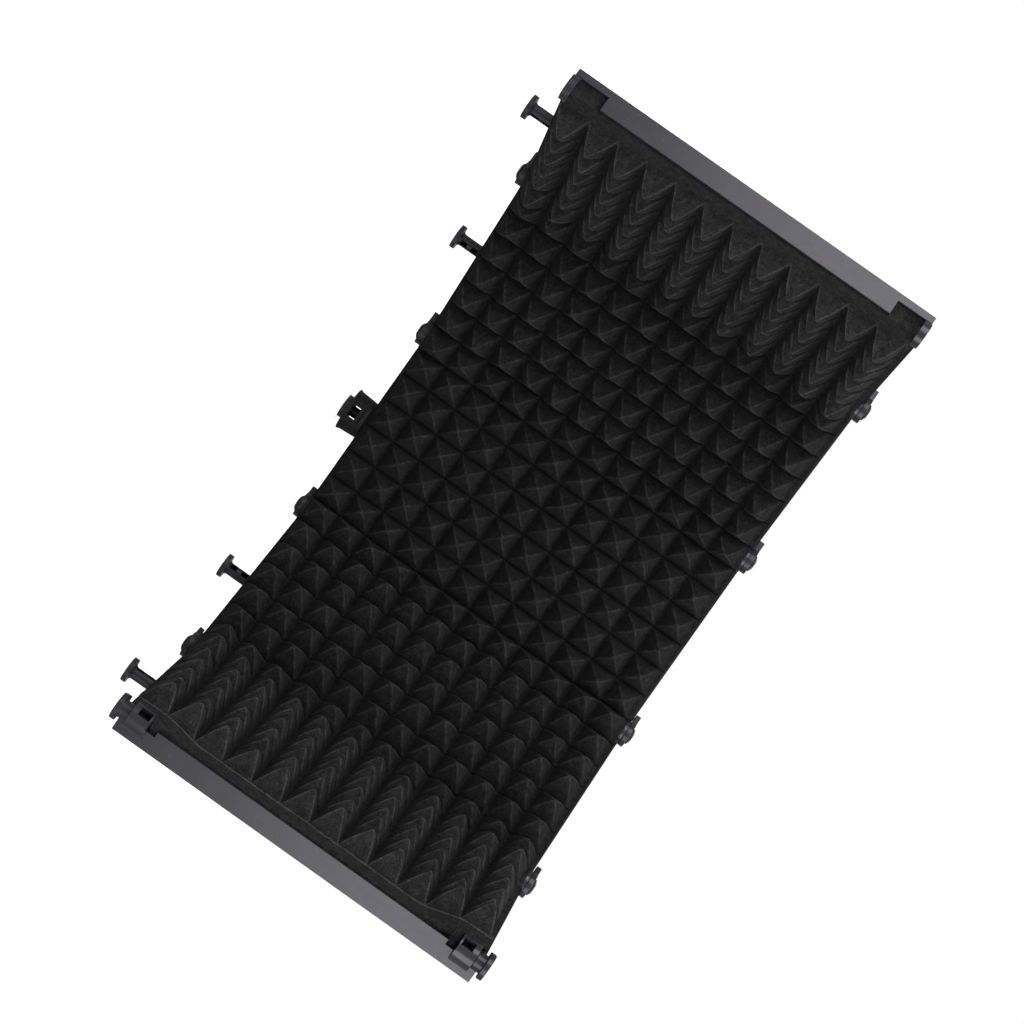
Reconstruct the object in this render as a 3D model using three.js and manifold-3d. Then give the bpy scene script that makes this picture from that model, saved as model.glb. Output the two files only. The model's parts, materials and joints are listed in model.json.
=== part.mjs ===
// Folding five-panel microphone isolation shield.
//
// Units are millimetres and +Z is up. The shield stands on its feet at z = 0, its absorbing
// foam faces -Y, and +X runs along the row of panels from the free ears to the free barrels.
// The origin is at the middle of the bottom of its bounding box.
//
// Every panel is the same module, drawn in its own coordinates: x runs along its width from the
// ear end (0) to the barrel end (PANEL_WIDTH), y runs from the open front (0) to the back
// (DEPTH) and z runs up from the lower edge of its frame. Both hinge axes are vertical lines
// at the front corners, so at x = 0 and at x = PANEL_WIDTH with y = 0.

import * as THREE from 'three';
import { mergeVertices } from 'three/addons/utils/BufferGeometryUtils.js';
import Module from 'manifold-3d';

const wasm = await Module();
wasm.setup();

// ---- driving dimensions -------------------------------------------------------------------

const PANEL_WIDTH = 173; // hinge axis to hinge axis
const HEIGHT = 320; // frame, without feet, knobs and bracket
const DEPTH = 18.5;
const FOOT_HEIGHT = 23.5;
const RUN_GAP = 0.3; // air between neighbouring pieces
const OVERSHOOT = 1; // how far a cutting tool passes the face that it cuts
const SEGMENTS = { pin: 16, neck: 24, bore: 28, disc: 36, large: 56 };

// Folds of the four hinges in the stored pose, away from the flat, fully open shield.
const FOLD = {
  inner_left: 32.5,
  outer_left: 39,
  inner_right: 38,
  outer_right: 35.5,
};

// Frame
const WALL = 2.2;
const END_GAP = 0.4; // each end wall stops this far short of the hinge plane
const LIP = 4; // rear rim that holds the grille
const LIP_THICKNESS = 1.6;
const NOTCH_HEIGHT = 30; // corner cut-outs in the end walls that clear the hinges
const NOTCH_DEPTH = 12.4;
const BARREL_NOTCH_DEPTH = 4.5;

// Grille
const GRILLE_THICKNESS = 1.3;
const GRILLE_BORDER = 9;
const SLOT_COLUMNS = 3;
const SLOT_ROWS = 18;
const SLOT_HEIGHT = 7;
const SLOT_SPACING = 5; // bar between two slots of a row

// Hinges, each measured inwards from the upper or the lower edge of the frame
const EAR_RADIUS = 10.75;
const EAR_BORE = 7.7;
const EAR_OUT = 0.3; // how far the ear stands proud of the edge
const EAR_IN = 5.9;
const EAR_TONGUE_START = 1;
const EAR_TONGUE = 12.5;
const BARREL_RADIUS = 11.2;
const BARREL_BORE = 4.6;
const BARREL_START = EAR_IN + RUN_GAP;
const BARREL_END = 22.4;
const BARREL_FLOOR = 1.4;
const BARREL_FOOT_START = 1;
const WINDOW_WIDTH = 8;
const WINDOW_HEIGHT = 9.9;
const WINDOW_MARGIN = 1.5; // from the barrel's inner end
const WINDOW_TURN = 32; // degrees from straight ahead towards the panel's end
const HINGE_CLEARANCE = 11.6; // radius kept free around each hinge axis

// Thumb knobs
const KNOB_RADIUS = 10.9;
const KNOB_NECK = 7.4;
const KNOB_PIN = 4.2;
const KNOB_PIN_END = 19.5;
const KNOB_SEAT = EAR_OUT + RUN_GAP;
const KNOB_TOP = 5;
const FREE_KNOB_SEAT = 1.7;
const FREE_KNOB_TOP = 6.1;
const KNOB_TAB_REACH = 19;
const KNOB_TAB_WIDTH = 8;
const CAP_RADIUS = 7;
const CAP_RIM_TOP = 6.3;
const CAP_CROWN_RADIUS = 4.6;
const CAP_TOP = 7.8;

// How far each panel's knobs are turned, in degrees from pointing back along their own panel.
const TAB_TURN = {
  center: -35,
  inner_right: -10,
  outer_right: 0,
  inner_left: -42.5,
  outer_left: -83.5,
};

// Foam
const FOAM_PITCH = 25.4;
const FOAM_ROW = 26.1;
const FOAM_ROWS = 12;
const FOAM_PEAK = 21.8;
const FOAM_MARGIN = 0.2; // flat strip below the first row
const FOAM_SIDE_COLUMNS = 16; // columns on each side of the shield's middle
const FOAM_BACK = 14.7;
const FOAM_ROW_VALLEY = 0.4; // the level valleys lie this much deeper than the upright ones
const FOAM_NEAR_STRIP = 8; // least flat strip beside a panel's hinge nearer the middle
const FOAM_FAR_STRIP = 5; // least flat strip beside its other hinge

// Feet
const FOOT_Y = DEPTH / 2;
const FOOT_DISC_RADIUS = 10.3;
const FOOT_DISC_THICKNESS = 4;
const FOOT_STEM_RADIUS = 5.1;
const FOOT_FLARE_RADIUS = 6.6;
const FOOT_FLARE = 2; // height of the flare where the stem meets its disc
const FOOT_SLOT_WIDTH = 4.4;
const FOOT_SLOT_DEPTH = 6.5;
const FOOT_SLOTS = [[1, 6.9], [11.4, 17.4]]; // top and bottom of each, below the frame

// Stand bracket under the middle panel
const BRACKET_Y = DEPTH / 2;
const BRACKET_TOP_RADIUS = 16.9;
const BRACKET_BASE_RADIUS = 18.2;
const BRACKET_DROP = 18.5;
const BRACKET_RIM = 1.9;
const BRACKET_RIM_OVERHANG = 0.5;
const BRACKET_CUT_REACH = 25; // longer than any radius of the bracket
const BRACKET_WINDOW_WIDTH = 10.9;
const BRACKET_WINDOW = [8.2, 15.5]; // top and bottom, below the frame
const BRACKET_PANEL_WIDTH = 15.2; // sunk panels round the window, front and back
const BRACKET_PANEL = [3.7, 16.2]; // top and bottom, below the frame
const BRACKET_PANEL_FACE = 14.5; // from the bracket's axis to a sunk panel's face
const BRACKET_BORE_TOP = 3; // below the frame
const BOLT_RADIUS = 4.6;
const BOLT_KNOB_RADIUS = 10.3;
const BOLT_BOTTOM = 23.2;
const BOLT_TOP = 3.6; // below the frame

// ---- materials ----------------------------------------------------------------------------

const plastic = new THREE.MeshStandardMaterial({ color: 0x201f21, roughness: 0.45, metalness: 0 });
const hingePlastic = new THREE.MeshStandardMaterial({ color: 0x59575d, roughness: 0.35, metalness: 0 });
const knobPlastic = new THREE.MeshStandardMaterial({ color: 0x5d5b61, roughness: 0.35, metalness: 0 });
const footPlastic = new THREE.MeshStandardMaterial({ color: 0x3f3e41, roughness: 0.5, metalness: 0 });
const paintedMetal = new THREE.MeshStandardMaterial({ color: 0x2f2e31, roughness: 0.4, metalness: 0.5 });
const foamBlack = new THREE.MeshStandardMaterial({ color: 0x1d1d1e, roughness: 1, metalness: 0 });
const boltSteel = new THREE.MeshStandardMaterial({ color: 0x3c3c3e, roughness: 0.3, metalness: 0.9 });

// ---- solids -------------------------------------------------------------------------------

function toManifold(geometry) {
  const bare = geometry.clone();
  bare.deleteAttribute('normal');
  bare.deleteAttribute('uv');
  const welded = mergeVertices(bare, 1e-4);
  return new wasm.Manifold(new wasm.Mesh({
    numProp: 3,
    vertProperties: new Float32Array(welded.attributes.position.array),
    triVerts: new Uint32Array(welded.index.array),
  }));
}

function toGeometry(manifold) {
  const mesh = manifold.getMesh();
  const geometry = new THREE.BufferGeometry();
  geometry.setAttribute('position', new THREE.BufferAttribute(mesh.vertProperties, 3));
  geometry.setIndex(new THREE.BufferAttribute(mesh.triVerts, 1));
  const flat = geometry.toNonIndexed();
  flat.computeVertexNormals();
  return flat;
}

function box([x0, x1], [y0, y1], [z0, z1]) {
  const geometry = new THREE.BoxGeometry(x1 - x0, y1 - y0, z1 - z0);
  geometry.translate((x0 + x1) / 2, (y0 + y1) / 2, (z0 + z1) / 2);
  return toManifold(geometry);
}

function cone(bottomRadius, topRadius, [z0, z1], x, y, segments) {
  const geometry = new THREE.CylinderGeometry(topRadius, bottomRadius, z1 - z0, segments);
  geometry.rotateX(Math.PI / 2);
  geometry.translate(x, y, (z0 + z1) / 2);
  return toManifold(geometry);
}

function cylinder(radius, span, x, y, segments) {
  return cone(radius, radius, span, x, y, segments);
}

function join(...solids) {
  return solids.reduce((sum, solid) => sum.add(solid));
}

function cut(solid, ...tools) {
  return tools.reduce((rest, tool) => rest.subtract(tool), solid);
}

// Turns a solid drawn for the lower edge of a frame over, so that it fits the upper edge.
function flipUp(solid) {
  return solid.mirror([0, 0, 1]).translate([0, 0, HEIGHT]);
}

function bothEdges(solid) {
  return [solid, flipUp(solid)];
}

// ---- panel pieces -------------------------------------------------------------------------

// An ear needs the wider clearance beyond the barrel; the neck of a free knob needs less.
function frameSolid(barrelIsLinked) {
  const ends = [END_GAP, PANEL_WIDTH - END_GAP];
  const innerEnds = [ends[0] + WALL, ends[1] - WALL];
  const outside = box(ends, [0, DEPTH], [0, HEIGHT]);
  const tray = box(innerEnds, [-OVERSHOOT, DEPTH - LIP_THICKNESS], [WALL, HEIGHT - WALL]);
  const rear = box(
    [innerEnds[0] + LIP, innerEnds[1] - LIP],
    [-OVERSHOOT, DEPTH + OVERSHOOT],
    [WALL + LIP, HEIGHT - WALL - LIP],
  );
  const notchY = [-OVERSHOOT, NOTCH_DEPTH];
  const notchZ = [-OVERSHOOT, NOTCH_HEIGHT];
  const edgeZ = [-OVERSHOOT, EAR_IN + RUN_GAP];
  const earNotch = box([-OVERSHOOT, EAR_TONGUE + RUN_GAP], notchY, edgeZ);
  const earWallNotch = box([-OVERSHOOT, innerEnds[0] + OVERSHOOT], notchY, notchZ);
  const barrelZ = [EAR_IN, BARREL_END + RUN_GAP];
  const barrelNotch = cylinder(HINGE_CLEARANCE, barrelZ, PANEL_WIDTH, 0, SEGMENTS.disc);
  const neckClearance = barrelIsLinked ? HINGE_CLEARANCE : KNOB_NECK + RUN_GAP;
  const neckNotch = cylinder(neckClearance, edgeZ, PANEL_WIDTH, 0, SEGMENTS.disc);
  const barrelWallX = [innerEnds[1] - OVERSHOOT, PANEL_WIDTH + OVERSHOOT];
  const barrelWallNotch = box(barrelWallX, [-OVERSHOOT, BARREL_NOTCH_DEPTH], notchZ);
  return cut(
    outside,
    tray,
    rear,
    ...bothEdges(earNotch),
    ...bothEdges(earWallNotch),
    ...bothEdges(barrelNotch),
    ...bothEdges(neckNotch),
    ...bothEdges(barrelWallNotch),
  );
}

function grilleSolid() {
  const inset = END_GAP + WALL + RUN_GAP;
  const back = DEPTH - LIP_THICKNESS - RUN_GAP;
  const plate = box(
    [inset, PANEL_WIDTH - inset],
    [back - GRILLE_THICKNESS, back],
    [WALL + RUN_GAP, HEIGHT - WALL - RUN_GAP],
  );
  const firstX = inset + GRILLE_BORDER;
  const fieldWidth = PANEL_WIDTH - 2 * firstX;
  const slotWidth = (fieldWidth - (SLOT_COLUMNS - 1) * SLOT_SPACING) / SLOT_COLUMNS;
  const firstZ = WALL + RUN_GAP + GRILLE_BORDER;
  const fieldHeight = HEIGHT - 2 * firstZ;
  const rowPitch = (fieldHeight - SLOT_HEIGHT) / (SLOT_ROWS - 1);
  const throughPlate = [back - GRILLE_THICKNESS - OVERSHOOT, back + OVERSHOOT];
  const slots = [];
  for (let column = 0; column < SLOT_COLUMNS; column += 1) {
    for (let row = 0; row < SLOT_ROWS; row += 1) {
      const x = firstX + column * (slotWidth + SLOT_SPACING);
      const z = firstZ + row * rowPitch;
      slots.push(box([x, x + slotWidth], throughPlate, [z, z + SLOT_HEIGHT]));
    }
  }
  return cut(plate, ...slots);
}

// Saw-tooth block that is solid from y = FOAM_BACK forward to a row of triangular ridges,
// with the valleys between them at y = valleyY.
function ridgeBlock([start, end], valleyY, firstValley, pitch, count, length) {
  const outline = new THREE.Shape();
  outline.moveTo(start, FOAM_BACK);
  outline.lineTo(start, valleyY);
  for (let tooth = 0; tooth < count; tooth += 1) {
    const valley = firstValley + tooth * pitch;
    outline.lineTo(valley, valleyY);
    outline.lineTo(valley + pitch / 2, -FOAM_PEAK);
  }
  outline.lineTo(firstValley + count * pitch, valleyY);
  outline.lineTo(end, valleyY);
  outline.lineTo(end, FOAM_BACK);
  outline.closePath();
  return new THREE.ExtrudeGeometry(outline, { depth: length, bevelEnabled: false });
}

// The part of the foam sheet that lies in one panel, clear of both hinges. Crossing upright
// and level ridges leaves the rows of pyramids.
function foamSolid(firstValley, columns, earIsLinked) {
  const inset = END_GAP + WALL + RUN_GAP;
  const bottom = WALL + RUN_GAP;
  const top = HEIGHT - bottom;
  const across = [inset, PANEL_WIDTH - inset];
  const upright = ridgeBlock(across, 0, firstValley, FOAM_PITCH, columns, top - bottom);
  upright.translate(0, 0, bottom);
  const upwards = [bottom, top];
  const firstRow = bottom + FOAM_MARGIN;
  const level = ridgeBlock(upwards, FOAM_ROW_VALLEY, firstRow, FOAM_ROW, FOAM_ROWS, PANEL_WIDTH);
  // The level ridges are drawn along x, so their outline axis is turned to stand along z.
  level.rotateY(-Math.PI / 2);
  level.translate(PANEL_WIDTH, 0, 0);
  const pyramids = toManifold(upright).intersect(toManifold(level));
  const keepOut = EAR_TONGUE + RUN_GAP;
  const barrelTop = BARREL_END + RUN_GAP;
  const earTop = earIsLinked ? barrelTop : EAR_IN + RUN_GAP;
  const front = -FOAM_PEAK - OVERSHOOT;
  const barrelCorner = box(
    [PANEL_WIDTH - keepOut, PANEL_WIDTH],
    [front, FOAM_BACK + OVERSHOOT],
    [0, barrelTop],
  );
  const earCorner = box([0, keepOut], [front, NOTCH_DEPTH], [0, earTop]);
  return cut(pyramids, ...bothEdges(barrelCorner), ...bothEdges(earCorner));
}

// Hinge barrel with its foot, blind bore and side window, for the lower edge.
function barrelSolid() {
  const span = [BARREL_START, BARREL_END];
  const x = PANEL_WIDTH;
  const inner = PANEL_WIDTH - END_GAP - WALL - RUN_GAP;
  const drum = cylinder(BARREL_RADIUS, span, x, 0, SEGMENTS.disc);
  const foot = box([x - BARREL_RADIUS, inner], [BARREL_FOOT_START, FOAM_BACK], span);
  const boreSpan = [BARREL_START - OVERSHOOT, BARREL_END - BARREL_FLOOR];
  const bore = cylinder(BARREL_BORE, boreSpan, x, 0, SEGMENTS.pin);
  const windowTop = BARREL_END - WINDOW_MARGIN;
  const window = box(
    [-WINDOW_WIDTH / 2, WINDOW_WIDTH / 2],
    [-BARREL_RADIUS - OVERSHOOT, 0],
    [windowTop - WINDOW_HEIGHT, windowTop],
  );
  return cut(join(drum, foot), bore, window.rotate([0, 0, WINDOW_TURN]).translate([x, 0, 0]));
}

// Ear ring with its tongue, for the lower edge.
function earSolid() {
  const span = [-EAR_OUT, EAR_IN];
  const ring = cylinder(EAR_RADIUS, span, 0, 0, SEGMENTS.disc);
  const tongue = box([EAR_TONGUE_START, EAR_TONGUE], [RUN_GAP, NOTCH_DEPTH - RUN_GAP], span);
  const bore = cylinder(EAR_BORE, [-EAR_OUT - OVERSHOOT, EAR_IN + OVERSHOOT], 0, 0, SEGMENTS.bore);
  return cut(join(ring, tongue), bore);
}

// Thumb knob for the lower edge, with its pin reaching up into the barrel.
function knobSolid(linked, turn) {
  const x = PANEL_WIDTH;
  const top = linked ? KNOB_TOP : FREE_KNOB_TOP;
  const seat = linked ? KNOB_SEAT : FREE_KNOB_SEAT;
  const disc = cylinder(KNOB_RADIUS, [-top, -seat], x, 0, SEGMENTS.disc);
  const tab = box(
    [-KNOB_TAB_REACH, 0],
    [-KNOB_TAB_WIDTH / 2, KNOB_TAB_WIDTH / 2],
    [-top, -seat],
  ).rotate([0, 0, turn]).translate([x, 0, 0]);
  const neck = cylinder(KNOB_NECK, [-top / 2, EAR_IN], x, 0, SEGMENTS.neck);
  const pin = cylinder(KNOB_PIN, [0, KNOB_PIN_END], x, 0, SEGMENTS.pin);
  const body = join(disc, tab, neck, pin);
  if (!linked) {
    return body;
  }
  const rim = cylinder(CAP_RADIUS, [-CAP_RIM_TOP, -top / 2], x, 0, SEGMENTS.neck);
  const crownSpan = [-CAP_TOP, -CAP_RIM_TOP];
  const crown = cone(CAP_CROWN_RADIUS, CAP_RADIUS, crownSpan, x, 0, SEGMENTS.neck);
  return join(body, rim, crown);
}

// ---- foot and bracket ---------------------------------------------------------------------

// The foot hangs from the lower edge of a frame on a round stem with two sunk slots in front.
function footSolid() {
  const x = PANEL_WIDTH / 2;
  const discTop = -FOOT_HEIGHT + FOOT_DISC_THICKNESS;
  const flareSpan = [discTop, discTop + FOOT_FLARE];
  const stem = cylinder(FOOT_STEM_RADIUS, [discTop, -RUN_GAP], x, FOOT_Y, SEGMENTS.bore);
  const flare = cone(FOOT_FLARE_RADIUS, FOOT_STEM_RADIUS, flareSpan, x, FOOT_Y, SEGMENTS.bore);
  const disc = cylinder(FOOT_DISC_RADIUS, [-FOOT_HEIGHT, discTop], x, FOOT_Y, SEGMENTS.disc);
  const front = FOOT_Y - FOOT_STEM_RADIUS;
  const slots = FOOT_SLOTS.map(([top, bottom]) => box(
    [x - FOOT_SLOT_WIDTH / 2, x + FOOT_SLOT_WIDTH / 2],
    [front - OVERSHOOT, front + FOOT_SLOT_DEPTH],
    [-bottom, -top],
  ));
  return cut(join(stem, flare, disc), ...slots);
}

function bracketSolid() {
  const x = PANEL_WIDTH / 2;
  const y = BRACKET_Y;
  const bodySpan = [-BRACKET_DROP, -RUN_GAP];
  const rimSpan = [-BRACKET_DROP, -BRACKET_DROP + BRACKET_RIM];
  const half = BRACKET_WINDOW_WIDTH / 2;
  const panelHalf = BRACKET_PANEL_WIDTH / 2;
  const panelSpan = [-BRACKET_PANEL[1], -BRACKET_PANEL[0]];
  const body = cone(BRACKET_BASE_RADIUS, BRACKET_TOP_RADIUS, bodySpan, x, y, SEGMENTS.large);
  const rim = cylinder(BRACKET_BASE_RADIUS + BRACKET_RIM_OVERHANG, rimSpan, x, y, SEGMENTS.large);
  const window = box(
    [x - half, x + half],
    [y - BRACKET_CUT_REACH, y + BRACKET_CUT_REACH],
    [-BRACKET_WINDOW[1], -BRACKET_WINDOW[0]],
  );
  const frontPanel = box(
    [x - panelHalf, x + panelHalf],
    [y - BRACKET_CUT_REACH, y - BRACKET_PANEL_FACE],
    panelSpan,
  );
  const backPanel = box(
    [x - panelHalf, x + panelHalf],
    [y + BRACKET_PANEL_FACE, y + BRACKET_CUT_REACH],
    panelSpan,
  );
  const boreSpan = [-BRACKET_DROP - OVERSHOOT, -BRACKET_BORE_TOP];
  const bore = cylinder(BOLT_RADIUS + RUN_GAP, boreSpan, x, y, SEGMENTS.bore);
  return cut(join(body, rim), window, frontPanel, backPanel, bore);
}

// Stand bolt: the threaded rod that takes the microphone stand, with a thumb disc below.
function boltSolid() {
  const x = PANEL_WIDTH / 2;
  const y = BRACKET_Y;
  const discSpan = [-BOLT_BOTTOM, -BRACKET_DROP - RUN_GAP];
  const rod = cylinder(BOLT_RADIUS, [-BOLT_BOTTOM, -BOLT_TOP], x, y, SEGMENTS.bore);
  const disc = cylinder(BOLT_KNOB_RADIUS, discSpan, x, y, SEGMENTS.disc);
  return join(rod, disc);
}

// ---- assembly -----------------------------------------------------------------------------

const shapes = {
  grille: toGeometry(grilleSolid()),
  lower_barrel: toGeometry(barrelSolid()),
  upper_barrel: toGeometry(flipUp(barrelSolid())),
  lower_ear: toGeometry(earSolid()),
  upper_ear: toGeometry(flipUp(earSolid())),
};

const slots = {
  grille: paintedMetal,
  lower_barrel: hingePlastic,
  upper_barrel: hingePlastic,
  lower_ear: hingePlastic,
  upper_ear: hingePlastic,
};

function addMesh(parent, name, geometry, material) {
  const mesh = new THREE.Mesh(geometry, material);
  mesh.name = name;
  parent.add(mesh);
}

// One panel: columns of foam run from firstColumn to lastColumn, both counted from the middle
// of the shield, whose distance from this panel's ear end is `middle`.
function addPanel(parent, panel) {
  const group = new THREE.Group();
  group.position.set(panel.x, panel.y, FOOT_HEIGHT);
  group.rotation.z = panel.turn;
  parent.add(group);
  for (const [piece, geometry] of Object.entries(shapes)) {
    addMesh(group, `${panel.name}_${piece}`, geometry, slots[piece]);
  }
  addMesh(group, `${panel.name}_frame`, toGeometry(frameSolid(panel.barrelIsLinked)), plastic);
  const firstValley = panel.middle + panel.firstColumn * FOAM_PITCH;
  const columns = panel.lastColumn - panel.firstColumn;
  const foam = foamSolid(firstValley, columns, panel.earIsLinked);
  addMesh(group, `${panel.name}_foam`, toGeometry(foam), foamBlack);
  const knob = knobSolid(panel.barrelIsLinked, TAB_TURN[panel.name]);
  addMesh(group, `${panel.name}_lower_knob`, toGeometry(knob), knobPlastic);
  addMesh(group, `${panel.name}_upper_knob`, toGeometry(flipUp(knob)), knobPlastic);
  if (panel.name !== 'center') {
    addMesh(group, `${panel.name}_foot`, toGeometry(footSolid()), footPlastic);
    return;
  }
  addMesh(group, 'stand_bracket', toGeometry(bracketSolid()), plastic);
  addMesh(group, 'stand_bolt', toGeometry(boltSolid()), boltSteel);
}

// The first and last valley, counted from the shield's middle, of the whole foam columns in the
// panel that starts at a distance of `reach` from that middle.
function foamColumns(reach) {
  const nearest = Math.ceil((reach + FOAM_NEAR_STRIP) / FOAM_PITCH);
  const farthest = Math.floor((reach + PANEL_WIDTH - FOAM_FAR_STRIP) / FOAM_PITCH);
  return [nearest, Math.min(farthest, FOAM_SIDE_COLUMNS)];
}

// Walks outwards from the middle panel, turning each next panel by the fold of its hinge.
function placedPanels() {
  const half = PANEL_WIDTH / 2;
  const centerColumns = Math.floor((half - FOAM_FAR_STRIP) / FOAM_PITCH);
  const panels = [{
    name: 'center',
    x: -half,
    y: 0,
    turn: 0,
    middle: half,
    firstColumn: -centerColumns,
    lastColumn: centerColumns,
  }];
  let angle = 0;
  let x = half;
  let y = 0;
  let reach = half;
  for (const name of ['inner_right', 'outer_right']) {
    angle -= THREE.MathUtils.degToRad(FOLD[name]);
    const [nearest, farthest] = foamColumns(reach);
    panels.push({
      name,
      x,
      y,
      turn: angle,
      middle: -reach,
      firstColumn: nearest,
      lastColumn: farthest,
    });
    x += PANEL_WIDTH * Math.cos(angle);
    y += PANEL_WIDTH * Math.sin(angle);
    reach += PANEL_WIDTH;
  }
  angle = 0;
  x = -half;
  y = 0;
  reach = half;
  for (const name of ['inner_left', 'outer_left']) {
    angle += THREE.MathUtils.degToRad(FOLD[name]);
    x -= PANEL_WIDTH * Math.cos(angle);
    y -= PANEL_WIDTH * Math.sin(angle);
    const [nearest, farthest] = foamColumns(reach);
    reach += PANEL_WIDTH;
    panels.push({
      name,
      x,
      y,
      turn: angle,
      middle: reach,
      firstColumn: -farthest,
      lastColumn: -nearest,
    });
  }
  for (const panel of panels) {
    panel.earIsLinked = panel.name !== 'outer_left';
    panel.barrelIsLinked = panel.name !== 'outer_right';
  }
  return panels;
}

const shield = new THREE.Group();
for (const panel of placedPanels()) {
  addPanel(shield, panel);
}
const bounds = new THREE.Box3().setFromObject(shield, true);
const middle = bounds.getCenter(new THREE.Vector3());
shield.position.set(-middle.x, -middle.y, -bounds.min.z);

export default shield;
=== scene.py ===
"""Folding five-panel microphone isolation shield: surfaces, materials, light and camera.

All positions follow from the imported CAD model. Panel coordinates are in millimetres: x runs along
a panel's width from its ear end to its barrel end, y from the open front to the back, z upwards
from the lower edge of its frame.
"""
import json
import math

import bmesh
import bpy
import numpy as np
from mathutils import Matrix, Vector

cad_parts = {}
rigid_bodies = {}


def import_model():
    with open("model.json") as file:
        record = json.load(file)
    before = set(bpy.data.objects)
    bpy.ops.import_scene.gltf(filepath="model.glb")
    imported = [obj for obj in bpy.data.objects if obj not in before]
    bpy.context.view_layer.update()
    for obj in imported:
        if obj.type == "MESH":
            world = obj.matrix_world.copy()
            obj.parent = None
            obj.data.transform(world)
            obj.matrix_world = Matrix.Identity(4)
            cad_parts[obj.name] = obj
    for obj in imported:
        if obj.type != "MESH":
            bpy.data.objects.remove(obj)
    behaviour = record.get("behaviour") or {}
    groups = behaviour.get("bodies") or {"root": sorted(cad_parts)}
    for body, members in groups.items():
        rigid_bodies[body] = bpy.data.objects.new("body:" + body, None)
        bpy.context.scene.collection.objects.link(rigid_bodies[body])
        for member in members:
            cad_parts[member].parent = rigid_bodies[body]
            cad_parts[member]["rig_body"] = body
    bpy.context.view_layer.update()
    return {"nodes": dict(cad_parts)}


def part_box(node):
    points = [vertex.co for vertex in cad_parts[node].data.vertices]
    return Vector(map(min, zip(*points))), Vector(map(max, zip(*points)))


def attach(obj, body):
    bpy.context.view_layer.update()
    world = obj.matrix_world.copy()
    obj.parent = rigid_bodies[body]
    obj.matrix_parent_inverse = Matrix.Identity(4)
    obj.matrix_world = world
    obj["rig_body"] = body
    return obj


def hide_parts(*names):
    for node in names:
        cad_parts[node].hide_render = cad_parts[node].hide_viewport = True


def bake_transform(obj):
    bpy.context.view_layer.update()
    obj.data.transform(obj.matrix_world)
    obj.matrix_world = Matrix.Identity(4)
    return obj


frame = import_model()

# ---- layout -------------------------------------------------------------------------------------

MM = 0.001
END_GAP = 0.4  # between a hinge axis and the end of a frame
FOLD = {"inner_left": 32.5, "outer_left": 39.0, "inner_right": 38.0, "outer_right": 35.5}
PANELS = ["center", "inner_right", "outer_right", "inner_left", "outer_left"]

frame_low, frame_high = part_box("center_frame")
ORIGIN = Vector(((frame_low.x + frame_high.x) / 2, frame_low.y, frame_low.z))
WIDTH = (frame_high.x - frame_low.x) / MM + 2 * END_GAP
DEPTH = (frame_high.y - frame_low.y) / MM
HEIGHT = (frame_high.z - frame_low.z) / MM
WALL = 2.2  # of the frame
GAP = 0.3  # between parts that don't touch
NOTCH_HEIGHT = 30.0  # the end walls are cut away this far from the upper and lower edges


def panel_matrices():
    """Panel coordinates in millimetres to the row frame in metres, for each panel."""
    half = WIDTH / 2
    places = {"center": (-half, 0.0, 0.0)}
    x, y, turn = half, 0.0, 0.0
    for name in ("inner_right", "outer_right"):
        turn -= math.radians(FOLD[name])
        places[name] = (x, y, turn)
        x += WIDTH * math.cos(turn)
        y += WIDTH * math.sin(turn)
    x, y, turn = -half, 0.0, 0.0
    for name in ("inner_left", "outer_left"):
        turn += math.radians(FOLD[name])
        x -= WIDTH * math.cos(turn)
        y -= WIDTH * math.sin(turn)
        places[name] = (x, y, turn)
    result = {}
    for name, (x, y, turn) in places.items():
        place = Matrix.Translation(ORIGIN + Vector((x, y, 0)) * MM)
        result[name] = place @ Matrix.Rotation(turn, 4, "Z") @ Matrix.Scale(MM, 4)
    return result


PLACE = panel_matrices()

# ---- material helpers ---------------------------------------------------------------------------


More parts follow.
